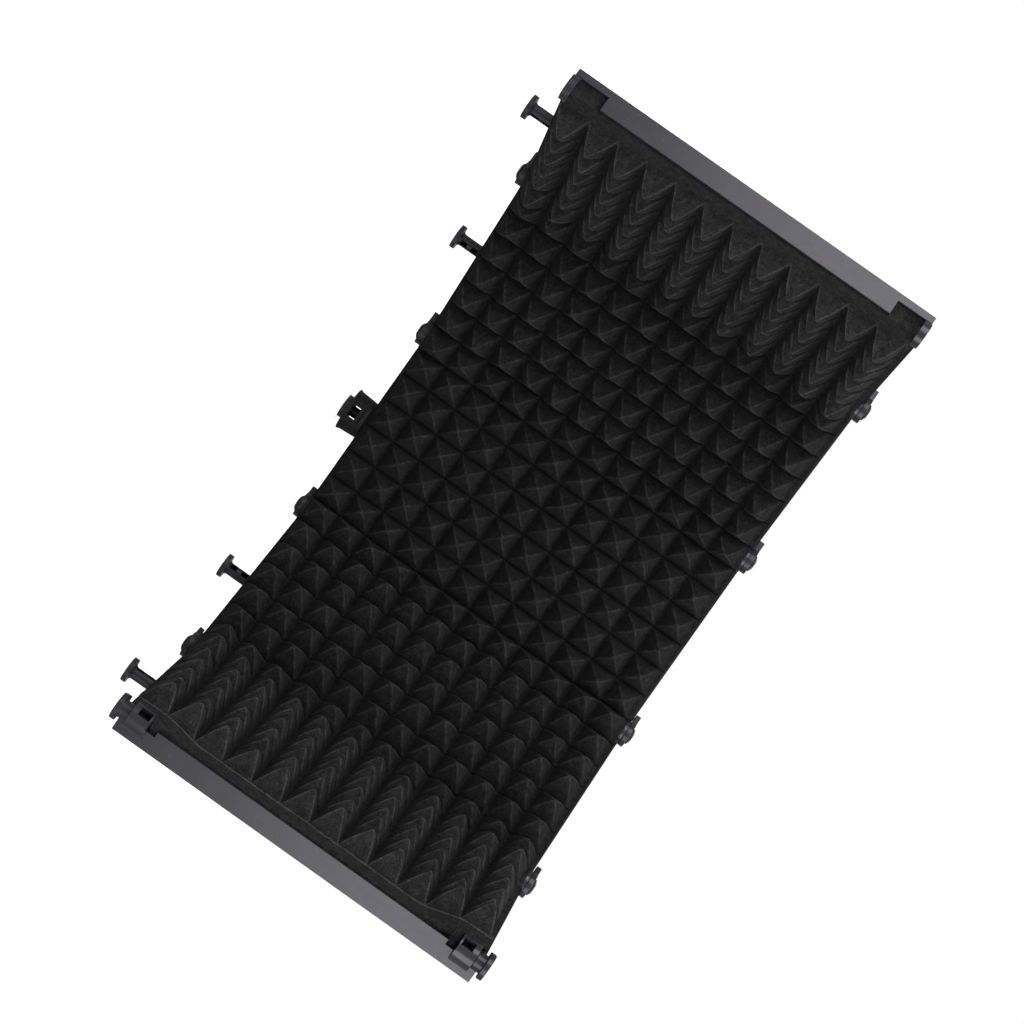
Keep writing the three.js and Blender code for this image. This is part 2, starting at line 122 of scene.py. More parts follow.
class Nodes:
    """A small builder for a material's node tree."""

    def __init__(self, name):
        self.material = bpy.data.materials.new(name)
        self.material.use_nodes = True
        self.tree = self.material.node_tree
        self.tree.nodes.clear()
        self.output = self.tree.nodes.new("ShaderNodeOutputMaterial")
        self.shader = self.tree.nodes.new("ShaderNodeBsdfPrincipled")
        self.link(self.shader.outputs["BSDF"], self.output.inputs["Surface"])
        self.place = self.tree.nodes.new("ShaderNodeTexCoord").outputs["Object"]

    def link(self, source, target):
        self.tree.links.new(source, target)

    def set(self, **values):
        for name, value in values.items():
            self.shader.inputs[name.replace("_", " ")].default_value = value

    def noise(self, scale, detail=3.0, roughness=0.5, stretch=None):
        node = self.tree.nodes.new("ShaderNodeTexNoise")
        node.inputs["Scale"].default_value = scale
        node.inputs["Detail"].default_value = detail
        node.inputs["Roughness"].default_value = roughness
        source = self.place
        if stretch:
            mapping = self.tree.nodes.new("ShaderNodeMapping")
            mapping.inputs["Scale"].default_value = stretch
            self.link(self.place, mapping.inputs["Vector"])
            source = mapping.outputs["Vector"]
        self.link(source, node.inputs["Vector"])
        return node.outputs["Fac"]

    def ramp(self, factor, stops):
        node = self.tree.nodes.new("ShaderNodeValToRGB")
        elements = node.color_ramp.elements
        while len(elements) < len(stops):
            elements.new(0.5)
        for element, (position, colour) in zip(elements, stops):
            element.position = position
            element.color = (*colour, 1)
        self.link(factor, node.inputs["Fac"])
        return node.outputs["Color"]

    def map(self, value, low, high):
        node = self.tree.nodes.new("ShaderNodeMapRange")
        node.inputs["To Min"].default_value = low
        node.inputs["To Max"].default_value = high
        self.link(value, node.inputs["Value"])
        return node.outputs["Result"]

    def math(self, operation, first, second):
        node = self.tree.nodes.new("ShaderNodeMath")
        node.operation = operation
        for socket, value in zip(node.inputs, (first, second)):
            if isinstance(value, (int, float)):
                socket.default_value = value
            else:
                self.link(value, socket)
        return node.outputs["Value"]

    def bump(self, height, strength, distance, below=None):
        node = self.tree.nodes.new("ShaderNodeBump")
        node.inputs["Strength"].default_value = strength
        node.inputs["Distance"].default_value = distance
        self.link(height, node.inputs["Height"])
        if below:
            self.link(below, node.inputs["Normal"])
        return node.outputs["Normal"]


def grey(value, tint=(1.0, 1.0, 1.0)):
    return tuple(value * part for part in tint)


VIOLET = (1.0, 0.965, 1.07)
NEUTRAL = (1.0, 1.0, 1.02)
FOAM_ALBEDO = 0.0199
DARKEST_CELL = 0.3  # share of the foam's mean tone
RELIEF_SHADING = "relief"  # painted light and shade on the foam: 0 gives the painted shadow beside the end walls, low values painted shade in the valleys, 1 the brightest painted highlight on ridges and lip


def moulded_plastic(name, dark, light, roughness, specular=0.5, tint=VIOLET):
    """Satin injection-moulded plastic with a fine spark-eroded grain and faint handling marks."""
    nodes = Nodes(name)
    clouds = nodes.noise(scale=35, detail=4)
    colour = nodes.ramp(clouds, [(0.3, grey(dark, tint)), (0.75, grey(light, tint))])
    nodes.link(colour, nodes.shader.inputs["Base Color"])
    marks = nodes.noise(scale=220, detail=6, roughness=0.65)
    rough = nodes.map(marks, low=roughness - 0.07, high=roughness + 0.09)
    nodes.link(rough, nodes.shader.inputs["Roughness"])
    grain = nodes.noise(scale=2600, detail=2)
    nodes.link(nodes.bump(grain, strength=0.35, distance=0.08 * MM), nodes.shader.inputs["Normal"])
    nodes.set(IOR=1.5, Specular_IOR_Level=specular)
    return nodes.material


def make_foam_material():
    """Open-cell polyurethane foam: matt and pitted, with painted highlights on its ridges and painted
    shade in its valleys.
    """
    nodes = Nodes("foam_cells")
    patches = nodes.map(nodes.noise(scale=170, detail=3, roughness=0.65), low=0.1, high=1.9)
    speck = nodes.map(nodes.noise(scale=620, detail=4, roughness=0.85), low=-0.6, high=2.6)
    relief = nodes.tree.nodes.new("ShaderNodeAttribute")
    relief.attribute_name = RELIEF_SHADING
    # Painted light and shade: this ramp darkens the valleys and the sheet beside the end walls with
    # painted shade, and lightens the ridges, the lip and the outer panels with painted highlights.
    painted_light_and_shade = nodes.ramp(relief.outputs["Fac"], [
        (0.0, grey(0.05)),
        (0.2, grey(0.9)),
        (0.5, grey(0.95)),
        (0.62, grey(1.3)),
        (0.86, grey(1.9)),
        (1.0, grey(3.4)),
    ])
    tone = nodes.math("MULTIPLY", nodes.math("MULTIPLY", patches, speck), FOAM_ALBEDO)
    tone = nodes.math("MAXIMUM", tone, DARKEST_CELL * FOAM_ALBEDO)
    nodes.link(nodes.math("MULTIPLY", tone, painted_light_and_shade), nodes.shader.inputs["Base Color"])
    pores = nodes.noise(scale=1300, detail=2, roughness=0.8)
    lumps = nodes.noise(scale=380, detail=4, roughness=0.7)
    coarse = nodes.bump(lumps, strength=0.9, distance=1.2 * MM)
    fine = nodes.bump(pores, strength=0.8, distance=0.4 * MM, below=coarse)
    nodes.link(fine, nodes.shader.inputs["Normal"])
    nodes.set(Roughness=1.0, Sheen_Weight=0.02, Sheen_Roughness=0.5, Specular_IOR_Level=0.05)
    return nodes.material


def make_steel(name, value, roughness, metallic):
    """Blackened steel with fine upright scratches."""
    nodes = Nodes(name)
    clouds = nodes.noise(scale=120, detail=4)
    colour = nodes.ramp(clouds, [(0.3, grey(value * 0.8)), (0.7, grey(value * 1.15))])
    nodes.link(colour, nodes.shader.inputs["Base Color"])
    scratches = nodes.noise(scale=500, detail=4, roughness=0.6, stretch=(1, 1, 0.06))
    rough = nodes.map(scratches, low=roughness - 0.08, high=roughness + 0.12)
    nodes.link(rough, nodes.shader.inputs["Roughness"])
    relief = nodes.bump(scratches, strength=0.25, distance=0.05 * MM)
    nodes.link(relief, nodes.shader.inputs["Normal"])
    nodes.set(Metallic=metallic)
    return nodes.material


def make_grille_paint():
    """Thick satin powder coat on the perforated sheet."""
    nodes = Nodes("grille_powder_coat")
    clouds = nodes.noise(scale=45, detail=4)
    colour = nodes.ramp(clouds, [(0.3, grey(0.020)), (0.75, grey(0.032))])
    nodes.link(colour, nodes.shader.inputs["Base Color"])
    peel = nodes.noise(scale=1300, detail=2, roughness=0.6)
    nodes.link(nodes.map(peel, low=0.36, high=0.56), nodes.shader.inputs["Roughness"])
    nodes.link(nodes.bump(peel, strength=0.4, distance=0.12 * MM), nodes.shader.inputs["Normal"])
    nodes.set(Metallic=0.0, Coat_Weight=0.15, Coat_Roughness=0.4)
    return nodes.material


MATERIALS = {
    "frame_plastic": moulded_plastic("frame_black_plastic", 0.006, 0.010, 0.6, 0.3, NEUTRAL),
    "hinge_plastic": moulded_plastic("hinge_gloss_plastic", 0.024, 0.034, 0.24, 0.6),
    "knob_plastic": moulded_plastic("knob_satin_plastic", 0.020, 0.030, 0.30, 0.5),
    "foot_plastic": moulded_plastic("foot_satin_plastic", 0.018, 0.026, 0.34, 0.5),
    "foam": make_foam_material(),
    "grille_metal": make_grille_paint(),
    "bolt_steel": make_steel("bolt_dark_steel", 0.045, 0.34, 0.5),
}

# ---- mesh helpers -------------------------------------------------------------------------------


def add_object(name, mesh, slot):
    obj = bpy.data.objects.new(name, mesh)
    bpy.context.scene.collection.objects.link(obj)
    mesh.materials.clear()
    mesh.materials.append(MATERIALS[slot])
    return obj


def soften(obj, width, segments=3, angle=32):
    """Rounds every sharp edge of a moulding, and keeps its flat faces flat."""
    bevel = obj.modifiers.new("rounding", "BEVEL")
    bevel.width = width * MM
    bevel.segments = segments
    bevel.limit_method = "ANGLE"
    bevel.angle_limit = math.radians(angle)
    bevel.use_clamp_overlap = True
    bevel.harden_normals = False
    weighted = obj.modifiers.new("flat faces", "WEIGHTED_NORMAL")
    weighted.keep_sharp = True
    for polygon in obj.data.polygons:
        polygon.use_smooth = True


def finished_copy(node, slot, width, segments=3, name=None):
    """A rounded and welded copy of a CAD node, which it replaces."""
    source = frame["nodes"][node]
    mesh = source.data.copy()
    bm = bmesh.new()
    bm.from_mesh(mesh)
    bmesh.ops.remove_doubles(bm, verts=bm.verts, dist=0.002 * MM)
    bmesh.ops.dissolve_limit(
        bm,
        angle_limit=math.radians(1),
        verts=bm.verts,
        edges=bm.edges,
        use_dissolve_boundaries=False,
    )
    bm.to_mesh(mesh)
    bm.free()
    obj = add_object(name or node + "_moulding", mesh, slot)
    soften(obj, width, segments)
    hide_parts(node)
    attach(obj, source["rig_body"])
    return obj


# ---- foam sheet ---------------------------------------------------------------------------------

PITCH = 25.4  # from one column of pyramids to the next
ROW = 26.1  # and from one row to the next
ROWS = 12
SIDE_COLUMNS = 16  # on each side of the middle valley
PEAK = 21.8  # height of a pyramid
TOOTH_POWER = 1.5  # how convex the flanks are
FLANK_DROP = 0.95  # share of the peak that a flank falls before the cut that parts two teeth
CUT_START = 0.93  # of the way from a tip to its valley
ROW_ROUNDING = 0.86  # from here on the valleys between two rows are rounded
OUTER_ROUNDING = 0.06  # this much later on the outer right panel
RIDGE_SHARPNESS = 40
BAND_LEVEL = PEAK * (1 - FLANK_DROP)  # height of the flat band at the sheet's ends
BAND_SAMPLES = 25
BAND_LIP = 1.5  # the cut edge of the end band stands this much higher
LIP_WIDTH = 3.0
LIP_HIGHLIGHT = 0.5  # painted highlight added along the band's cut lip
FIRST_ROW = 1.1  # above the frame's lower edge
BEND_HALF = 34.0  # arc on each side of a hinge over which the sheet bends
SHEET_BACK = 14.4  # depth of the sheet's back behind its valley plane
SHEET_END = 2.5 * WIDTH - END_GAP - WALL - GAP
SPLIT_COLUMN = 7  # the sheet's pieces meet in this valley
SHEET_SHIFT = 1.6  # the middle valley lies this far to the right of the middle
# Samples from a valley to the next row of tips, closest together beside the valley.
HALF_TOOTH = [0, 0.035, 0.07, 0.14, 0.25, 0.38, 0.52, 0.66, 0.78, 0.9]
WALL_DIP = 8.0  # how far the sheet's end edge turns down beside the end wall
WALL_DIP_WIDTH = 1.8
OUTER_PAINTED_LIGHT = 0.15  # painted light: the outer panels' foam is painted paler, as if more brightly lit
OUTER_BLUNTING = 0.85  # and this share of its cuts between the teeth is missing
OUTER_LEAN = 2.0  # the tips of the outer right panel lean this far upwards
CENTER_LEAN = 2.6  # and those of the middle panel
TIP_WANDER = 1.7  # how far the tips stray sideways
LUMPS = 0.9  # unevenness of the foam's height
SMALL_LUMPS = 0.3
FINE_LUMPS = 0.2
PLAIN_RELIEF = 0.5  # level of the painted light and shade on a flank and on the end band, where the tone stays nearly plain
BACK_RELIEF = 0.4
SHARP_ANGLE = 26  # edges sharper than this many degrees are not smoothed over
HINGE_LIFT = 8.0  # the sheet stands off over each hinge's barrels
HINGE_LIFT_WIDTH = 17.0
END_LIFT = {"upper": 10.0, "lower": 5.0}  # and over the free barrels
LIFT_CLEARANCE = 0.9  # thickness of the foam over a barrel, below its valleys
BARREL_REACH = 23.0  # height of a barrel's end from the nearest edge of its frame


def smooth_step(value):
    value = np.clip(value, 0, 1)
    return value * value * (3 - 2 * value)


def value_noise(x, y, seed):
    """Smooth repeatable noise from -1 to 1 on a unit grid."""
    xi, yi = np.floor(x), np.floor(y)
    xf, yf = smooth_step(x - xi), smooth_step(y - yi)

    def corner(i, j):
        wave = np.sin((xi + i) * 127.1 + (yi + j) * 311.7 + seed * 74.7) * 43758.5453
        return 2 * (wave - np.floor(wave)) - 1

    low = corner(0, 0) * (1 - xf) + corner(1, 0) * xf
    high = corner(0, 1) * (1 - xf) + corner(1, 1) * xf
    return low * (1 - yf) + high * yf


class SheetPath:
    """The sheet's valley plane seen from above: from arc length to place and direction."""

    def __init__(self, first_fold, second_fold):
        folds = [math.radians(first_fold), math.radians(second_fold)]
        tangents = [self.corner_distance(fold) for fold in folds]
        first = WIDTH / 2 - tangents[0] + BEND_HALF
        second = first + WIDTH - tangents[0] - tangents[1] + 2 * BEND_HALF
        self.hinges = (first, second)
        self.arc = np.linspace(0, SHEET_END + 5, 4000)
        step = self.arc[1] - self.arc[0]
        self.turn = np.zeros_like(self.arc)
        for fold, hinge in zip(folds, self.hinges):
            self.turn += fold * smooth_step((self.arc - hinge + BEND_HALF) / (2 * BEND_HALF))
        middle = (self.turn[1:] + self.turn[:-1]) / 2
        self.x = np.concatenate([[0], np.cumsum(np.cos(middle) * step)])
        self.y = np.concatenate([[0], -np.cumsum(np.sin(middle) * step)])
        self.end = second + BEND_HALF + WIDTH - tangents[1] - END_GAP - WALL - GAP

    @staticmethod
    def corner_distance(fold):
        """Distance from a bend's start to the corner that it rounds off."""
        share = (np.arange(2000) + 0.5) / 2000
        turn = fold * smooth_step(share)
        step = 2 * BEND_HALF / 2000
        along = np.sum(np.cos(turn)) * step
        across = np.sum(np.sin(turn)) * step
        return along - across / math.tan(fold)


PATHS = {
    1: SheetPath(FOLD["inner_right"], FOLD["outer_right"]),
    -1: SheetPath(FOLD["inner_left"], FOLD["outer_left"]),
}


def tooth_height(q, z, sharp, rounding):
    """Height of the pyramids over the valley plane at pattern place q and height z.

    The cut between two columns is full where sharp is 1 and left out where it is 0. The valley
    between two rows is rounded from the share rounding of the way down.
    """
    a = np.abs(2 * np.mod(q / PITCH, 1) - 1)
    row = (np.clip(z, FIRST_ROW, FIRST_ROW + ROWS * ROW) - FIRST_ROW) / ROW
    b = np.abs(2 * np.mod(row, 1) - 1)
    b -= np.maximum(b - rounding, 0) ** 2 / (2 * (1 - rounding))
    reach = np.minimum((a**RIDGE_SHARPNESS + b**RIDGE_SHARPNESS) ** (1 / RIDGE_SHARPNESS), 1)
    flank = FLANK_DROP * reach**TOOTH_POWER
    cut = sharp * (1 - FLANK_DROP) * np.clip((reach - CUT_START) / (1 - CUT_START), 0, 1)
    cut = np.where((q > (SIDE_COLUMNS - 0.5) * PITCH) & (a > b), 0, cut)
    return PEAK * (1 - flank - cut)


def relief_value(q, z, sharp):
    """Painted light and shade on the foam: 0.2 (painted shade) in a sharp valley, 0.5 on a flank and
    0.86 (painted highlight) along a ridge.
    """
    a = np.abs(2 * np.mod(q / PITCH, 1) - 1)
    b = np.abs(2 * np.mod((z - FIRST_ROW) / ROW, 1) - 1)
    upright = np.where(q > (SIDE_COLUMNS - 0.5) * PITCH, 0, smooth_step((a - 0.62) / 0.26))
    valley = np.maximum(upright, sharp * smooth_step((b - 0.80) / 0.19))
    ridge = (1 - smooth_step(np.abs(a - b) / 0.15)) * (1 - valley)
    return PLAIN_RELIEF + 0.36 * ridge - 0.3 * valley


def tooth_samples(first, count, pitch):
    """Places of the samples across a number of teeth, from the first valley on."""
    half = np.array(HALF_TOOTH)
    tooth = np.concatenate([half / 2, 1 - np.append(half[1:], 1)[::-1] / 2])
    teeth = np.arange(count).reshape(-1, 1) + tooth
    return first + pitch * np.append(teeth.reshape(-1), count)


def edge_distance(z):
    return np.minimum(z, HEIGHT - z)


def edge_nearness(z):
    """1 beside the upper and lower hinges, falling to 0 towards the middle of the panel."""
    return 1 - smooth_step((edge_distance(z) - 24) / 40)


def foam_piece(name, side, first, last, nodes):
    """One closed piece of the foam sheet, between pattern columns first and last on one side."""
    path = PATHS[side]
    shift = SHEET_SHIFT * side
    start = first * PITCH
    stop = last * PITCH if last < SIDE_COLUMNS else path.end - shift
    q = tooth_samples(start, last - first, PITCH)
    if last == SIDE_COLUMNS:
        q = np.concatenate([q, np.linspace(last * PITCH, stop, BAND_SAMPLES)[1:]])
    rows = tooth_samples(FIRST_ROW, ROWS, ROW)
    top = HEIGHT - WALL - GAP
    z = np.concatenate([rows, np.linspace(rows[-1], top, 4)[1:]])
    q_grid, z_grid = np.meshgrid(q, z, indexing="ij")
    s_grid = q_grid + shift

    past_teeth = q_grid - SIDE_COLUMNS * PITCH
    lip = BAND_LIP if side > 0 else 0.0
    lip_shape = smooth_step(past_teeth / 0.5) * (1 - smooth_step(past_teeth / LIP_WIDTH))
    band = BAND_LEVEL + lip * lip_shape
    on_band = past_teeth > 0
    outer = smooth_step((s_grid - path.hinges[1] + 30) / 60)
    sharp = 1 - OUTER_BLUNTING * outer
    rounding = ROW_ROUNDING + (OUTER_ROUNDING * outer if side > 0 else 0.0)
    height = np.where(on_band, band, tooth_height(q_grid, z_grid, sharp, rounding))
    share = height / PEAK
    signed = side * q_grid
    lean = TIP_WANDER * share
    wobble_s = lean * value_noise(signed / 21, z_grid / 23, 1)
    wobble_z = lean * value_noise(signed / 19, z_grid / 22, 2)
    wobble_h = LUMPS * value_noise(signed / 17, z_grid / 19, 3)
    wobble_h += SMALL_LUMPS * value_noise(signed / 6, z_grid / 6, 4)
    fine = FINE_LUMPS * value_noise(signed / 3.1, z_grid / 3.1, 5)
    wobble_z += CENTER_LEAN * share * (1 - smooth_step((s_grid - 50) / 60))
    if side > 0:
        wobble_z += OUTER_LEAN * share * smooth_step((s_grid - path.hinges[1]) / 60)

    stand_off = np.zeros_like(s_grid)
    for hinge in path.hinges:
        stand_off += HINGE_LIFT * np.exp(-(((s_grid - hinge) / HINGE_LIFT_WIDTH) ** 2))
    if side > 0:
        end_lift = np.where(z_grid > HEIGHT / 2, END_LIFT["upper"], END_LIFT["lower"])
        stand_off += end_lift * smooth_step((s_grid - path.end + 45) / 20)
    stand_off *= edge_nearness(z_grid)
    out = height + stand_off + wobble_h * (0.3 + share) + fine
    beside_wall = edge_distance(z_grid) > NOTCH_HEIGHT
    dip = smooth_step((s_grid - path.end + WALL_DIP_WIDTH) / WALL_DIP_WIDTH) * beside_wall
    out -= WALL_DIP * dip

    def place(s, level, upright):
        x = np.interp(s, path.arc, path.x) + np.minimum(s, 0)
        y = np.interp(s, path.arc, path.y)
        turn = np.interp(s, path.arc, path.turn)
        points = np.stack(
            [
                side * (x - level * np.sin(turn)),
                y - level * np.cos(turn),
                upright,
            ],
            axis=-1,
        )
        return points.reshape(-1, 3)

    s_front = np.minimum(s_grid + wobble_s, path.end)
    z_front = np.clip(z_grid + wobble_z, FIRST_ROW, top)
    front = place(s_front, out, z_front)

    # Over the end walls of the frames and in front of the barrels, the sheet is thin.
    over_wall = np.zeros_like(s_grid)
    near_edge = 1 - smooth_step((edge_distance(z_grid) - BARREL_REACH) / 2)
    for hinge in path.hinges:
        over_wall = np.maximum(over_wall, 1 - smooth_step((np.abs(s_grid - hinge) - 6) / 3))
        corner = 1 - smooth_step((np.abs(s_grid - hinge) - 14) / 3)
        over_wall = np.maximum(over_wall, corner * near_edge)
    if side > 0:
        end_corner = smooth_step((s_grid - path.end + 12.5) / 1.5)
        over_wall = np.maximum(over_wall, end_corner * near_edge)
    thin = stand_off - LIFT_CLEARANCE
    level = over_wall * thin - (1 - over_wall) * SHEET_BACK
    z_back = np.clip(z_grid, WALL + GAP, top)
    back = place(s_grid, level, z_back)

    nu, nv = len(q), len(z)
    index = np.arange(nu * nv).reshape(nu, nv)
    offset = nu * nv

    def quads(a, b, c, d):
        return np.stack([a, b, c, d], axis=-1).reshape(-1, 4)

    # Each front cell is cut along the diagonal that runs with the ridge through its quarter.
    quarter_q = np.mod(np.floor((q_grid[:-1, :-1] + q_grid[1:, :-1]) / PITCH), 2)
    quarter_z = np.mod(np.floor(2 * ((z_grid[:-1, :-1] + z_grid[:-1, 1:]) / 2 - FIRST_ROW) / ROW), 2)
    rising = (quarter_q == quarter_z).reshape(-1, 1)
    cells = quads(index[:-1, :-1], index[1:, :-1], index[1:, 1:], index[:-1, 1:])
    first_half = np.where(rising, cells[:, [0, 1, 2]], cells[:, [1, 2, 3]])
    second_half = np.where(rising, cells[:, [0, 2, 3]], cells[:, [1, 3, 0]])
    triangles = np.concatenate([first_half, second_half])
    faces = [offset + quads(index[:-1, :-1], index[:-1, 1:], index[1:, 1:], index[1:, :-1])]
    for line in (index[:, 0], index[::-1, -1], index[-1, :], index[0, ::-1]):
        faces.append(quads(line[:-1], offset + line[:-1], offset + line[1:], line[1:]))
    faces = np.concatenate(faces)
    if side < 0:
        faces = faces[:, ::-1]
        triangles = triangles[:, ::-1]
    faces = triangles.tolist() + faces.tolist()
    points = np.concatenate([front, back]) * MM + np.array(ORIGIN)

    mesh = bpy.data.meshes.new(name)
    mesh.from_pydata(points.tolist(), [], faces)
    mesh.update()
    mesh.set_sharp_from_angle(angle=math.radians(SHARP_ANGLE))
    # Painted light and shade per vertex: painted highlight on the lip and the outer panels, painted
    # shade in the valleys, painted shadow where the sheet dips beside the end wall.
    lip_highlight = LIP_HIGHLIGHT * (1 - smooth_step((past_teeth - 1.2) / 0.8)) if side > 0 else 0.0
    vertex_painted_light = np.where(on_band, PLAIN_RELIEF + lip_highlight, relief_value(q_grid, z_grid, sharp))
    vertex_painted_light += OUTER_PAINTED_LIGHT * outer
    vertex_painted_light = np.clip(vertex_painted_light, 0, 1) * (1 - dip)
    values = np.concatenate([vertex_painted_light.reshape(-1), np.full(nu * nv, BACK_RELIEF)])
    attribute = mesh.attributes.new(RELIEF_SHADING, "FLOAT", "POINT")
    attribute.data.foreach_set("value", values.astype(np.float32))
    obj = add_object(name, mesh, "foam")
    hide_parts(*nodes)
    hinge = path.hinges[0] if first == 0 else path.hinges[1]
    bend = np.array([hinge - BEND_HALF, hinge + BEND_HALF])
    ends = place(bend, np.zeros(2), np.full(2, HEIGHT / 2))
    ends = ends * MM + np.array(ORIGIN)
    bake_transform(obj)
    return obj


def make_foam():
    for side, word in ((1, "right"), (-1, "left")):
        inner, outer = f"inner_{word}", f"outer_{word}"
        covered = ["center_foam", f"{inner}_foam"] if side > 0 else [f"{inner}_foam"]
        foam_piece(f"foam_{inner}", side, 0, SPLIT_COLUMN, covered)
        foam_piece(f"foam_{outer}", side, SPLIT_COLUMN, SIDE_COLUMNS, [f"{outer}_foam"])


# ---- perforated grilles -------------------------------------------------------------------------

HOLE_PITCH = 6.0
HOLE_RADIUS = 2.1
HOLE_SIDES = 16
GRILLE_MARGIN = 14.0  # plain border, both sides together
GRILLE_THICKNESS = 1.3
REAR_LIP = 1.6  # thickness of the frame's lip behind the grille


def grille_mesh():
    """Perforated sheet with staggered rows of round holes inside a plain border."""
    inset = END_GAP + WALL + GAP
    x_span = (inset, WIDTH - inset)
    z_span = (WALL + GAP, HEIGHT - WALL - GAP)
    back = DEPTH - REAR_LIP - GAP
    front = back - GRILLE_THICKNESS
    columns = int((x_span[1] - x_span[0] - GRILLE_MARGIN) / HOLE_PITCH)
    rows = int((z_span[1] - z_span[0] - GRILLE_MARGIN) / HOLE_PITCH)
    x_start = (x_span[0] + x_span[1] - (columns + 0.5) * HOLE_PITCH) / 2
    z_start = (z_span[0] + z_span[1] - rows * HOLE_PITCH) / 2
    quarter = HOLE_PITCH / 4
    square = [(-2, -2), (-1, -2), (0, -2), (1, -2), (2, -2), (2, -1), (2, 0), (2, 1)]
    square += [(-x, -z) for x, z in square]
    points = []
    faces = []
    lookup = {}

    def vertex(x, y, z):
        key = (round(x * 1000), round(y * 1000), round(z * 1000))
        if key not in lookup:
            lookup[key] = len(points)
            points.append((x, y, z))
        return lookup[key]

    def sheet_face(outline):
        faces.append([vertex(x, front, z) for x, z in outline])
        faces.append([vertex(x, back, z) for x, z in reversed(outline)])

    for row in range(rows):
        z0 = z_start + row * HOLE_PITCH
        stagger = 0.5 * HOLE_PITCH * (row % 2)
        for column in range(columns):
            cx = x_start + stagger + (column + 0.5) * HOLE_PITCH
            cz = z0 + HOLE_PITCH / 2
            outer = [(cx + i * quarter, cz + j * quarter) for i, j in square]
            if row in (0, rows - 1) and column in (0, columns - 1):
                sheet_face(outer)
                continue
            inner = []
            for i, j in square:
                length = math.hypot(i, j)
                inner.append((cx + HOLE_RADIUS * i / length, cz + HOLE_RADIUS * j / length))
            for k in range(HOLE_SIDES):
                n = (k + 1) % HOLE_SIDES
                sheet_face([outer[k], outer[n], inner[n], inner[k]])
                faces.append([
                    vertex(inner[k][0], front, inner[k][1]),
                    vertex(inner[n][0], front, inner[n][1]),
                    vertex(inner[n][0], back, inner[n][1]),
                    vertex(inner[k][0], back, inner[k][1]),
                ])
        z1 = z0 + HOLE_PITCH
        row_start = x_start + stagger
        row_end = row_start + columns * HOLE_PITCH
        for edge, limit, direction in ((row_start, x_span[0], -1), (row_end, x_span[1], 1)):
            level = [z0, z0 + quarter, z0 + 2 * quarter, z0 + 3 * quarter, z1]
            near = x_start if direction < 0 else x_start + (columns + 0.5) * HOLE_PITCH
            steps = round(abs(edge - near) / quarter)
            lower = [(edge + direction * quarter * k, z0) for k in range(1, steps + 1)]
            upper = [(edge + direction * quarter * k, z1) for k in range(1, steps + 1)]
            outline = [(edge, z) for z in level] + upper + [(limit, z1), (limit, z0)] + lower[::-1]
            sheet_face(outline if direction > 0 else outline[::-1])
    top = z_start + rows * HOLE_PITCH
    for level, limit, row in ((z_start, z_span[0], 0), (top, z_span[1], rows - 1)):
        steps = int((columns + 0.5) * HOLE_PITCH / quarter)
        line = [(x_start + k * quarter, level) for k in range(steps + 1)]
        outline = [(x_span[0], level)] + line + [(x_span[1], level)]
        outline += [(x_span[1], limit), (x_span[0], limit)]
        if limit < level:
            outline = outline[::-1]
        sheet_face(outline)
    mesh = bpy.data.meshes.new("perforated_sheet")
    mesh.from_pydata(points, [], faces)
    bm = bmesh.new()
    bm.from_mesh(mesh)
    loops = [edge for edge in bm.edges if edge.is_boundary]
    bmesh.ops.bridge_loops(bm, edges=loops)
    bmesh.ops.recalc_face_normals(bm, faces=bm.faces)
    bm.to_mesh(mesh)
    bm.free()
    return mesh


def make_grilles():
    mesh = grille_mesh()
    for panel in PANELS:
        obj = add_object(f"{panel}_perforated_grille", mesh, "grille_metal")
        obj.matrix_world = PLACE[panel]
        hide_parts(f"{panel}_grille")
        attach(obj, panel)


# ---- mouldings ----------------------------------------------------------------------------------

POST_EDGE = END_GAP + WALL - 0.01  # the end posts' inner faces
TRAY_EDGE = END_GAP + WALL + 0.01
RING_SIDES = 64
RING_ROUNDING = 0.15
# Painted shade: black rings set at the joints under each knob's disc and under its cap, where the
# joints show only shadow lines.
DISC_SHADOW_RING = (10.75, 0.1, 0.8)  # radius, and the heights of its two faces
CAP_SHADOW_RING = (7.15, 5.5, 6.25)
ROUNDING = {"frame": 0.45, "barrel": 0.5, "ear": 0.6, "knob": 0.5, "foot": 0.5, "stand": 0.4}


def frame_part(panel, name, slot, start, stop):
    """The part of a panel's frame between two places along its width."""
    obj = finished_copy(f"{panel}_frame", slot, ROUNDING["frame"], name=name)
    place = PLACE[panel]
    along = (place.to_3x3() @ Vector((1, 0, 0))).normalized()
    bm = bmesh.new()
    bm.from_mesh(obj.data)
    for x, outwards in ((start, -along), (stop, along)):
        geometry = bm.verts[:] + bm.edges[:] + bm.faces[:]
        at = place @ Vector((x, 0, 0))
        bmesh.ops.bisect_plane(
            bm,
            geom=geometry,
            dist=1e-7,
            plane_co=at,
            plane_no=outwards,
            clear_outer=True,
        )
        open_edges = [edge for edge in bm.edges if edge.is_boundary]
        bmesh.ops.holes_fill(bm, edges=open_edges, sides=0)
    bm.to_mesh(obj.data)
    bm.free()
    for polygon in obj.data.polygons:
        polygon.use_smooth = True
    return obj


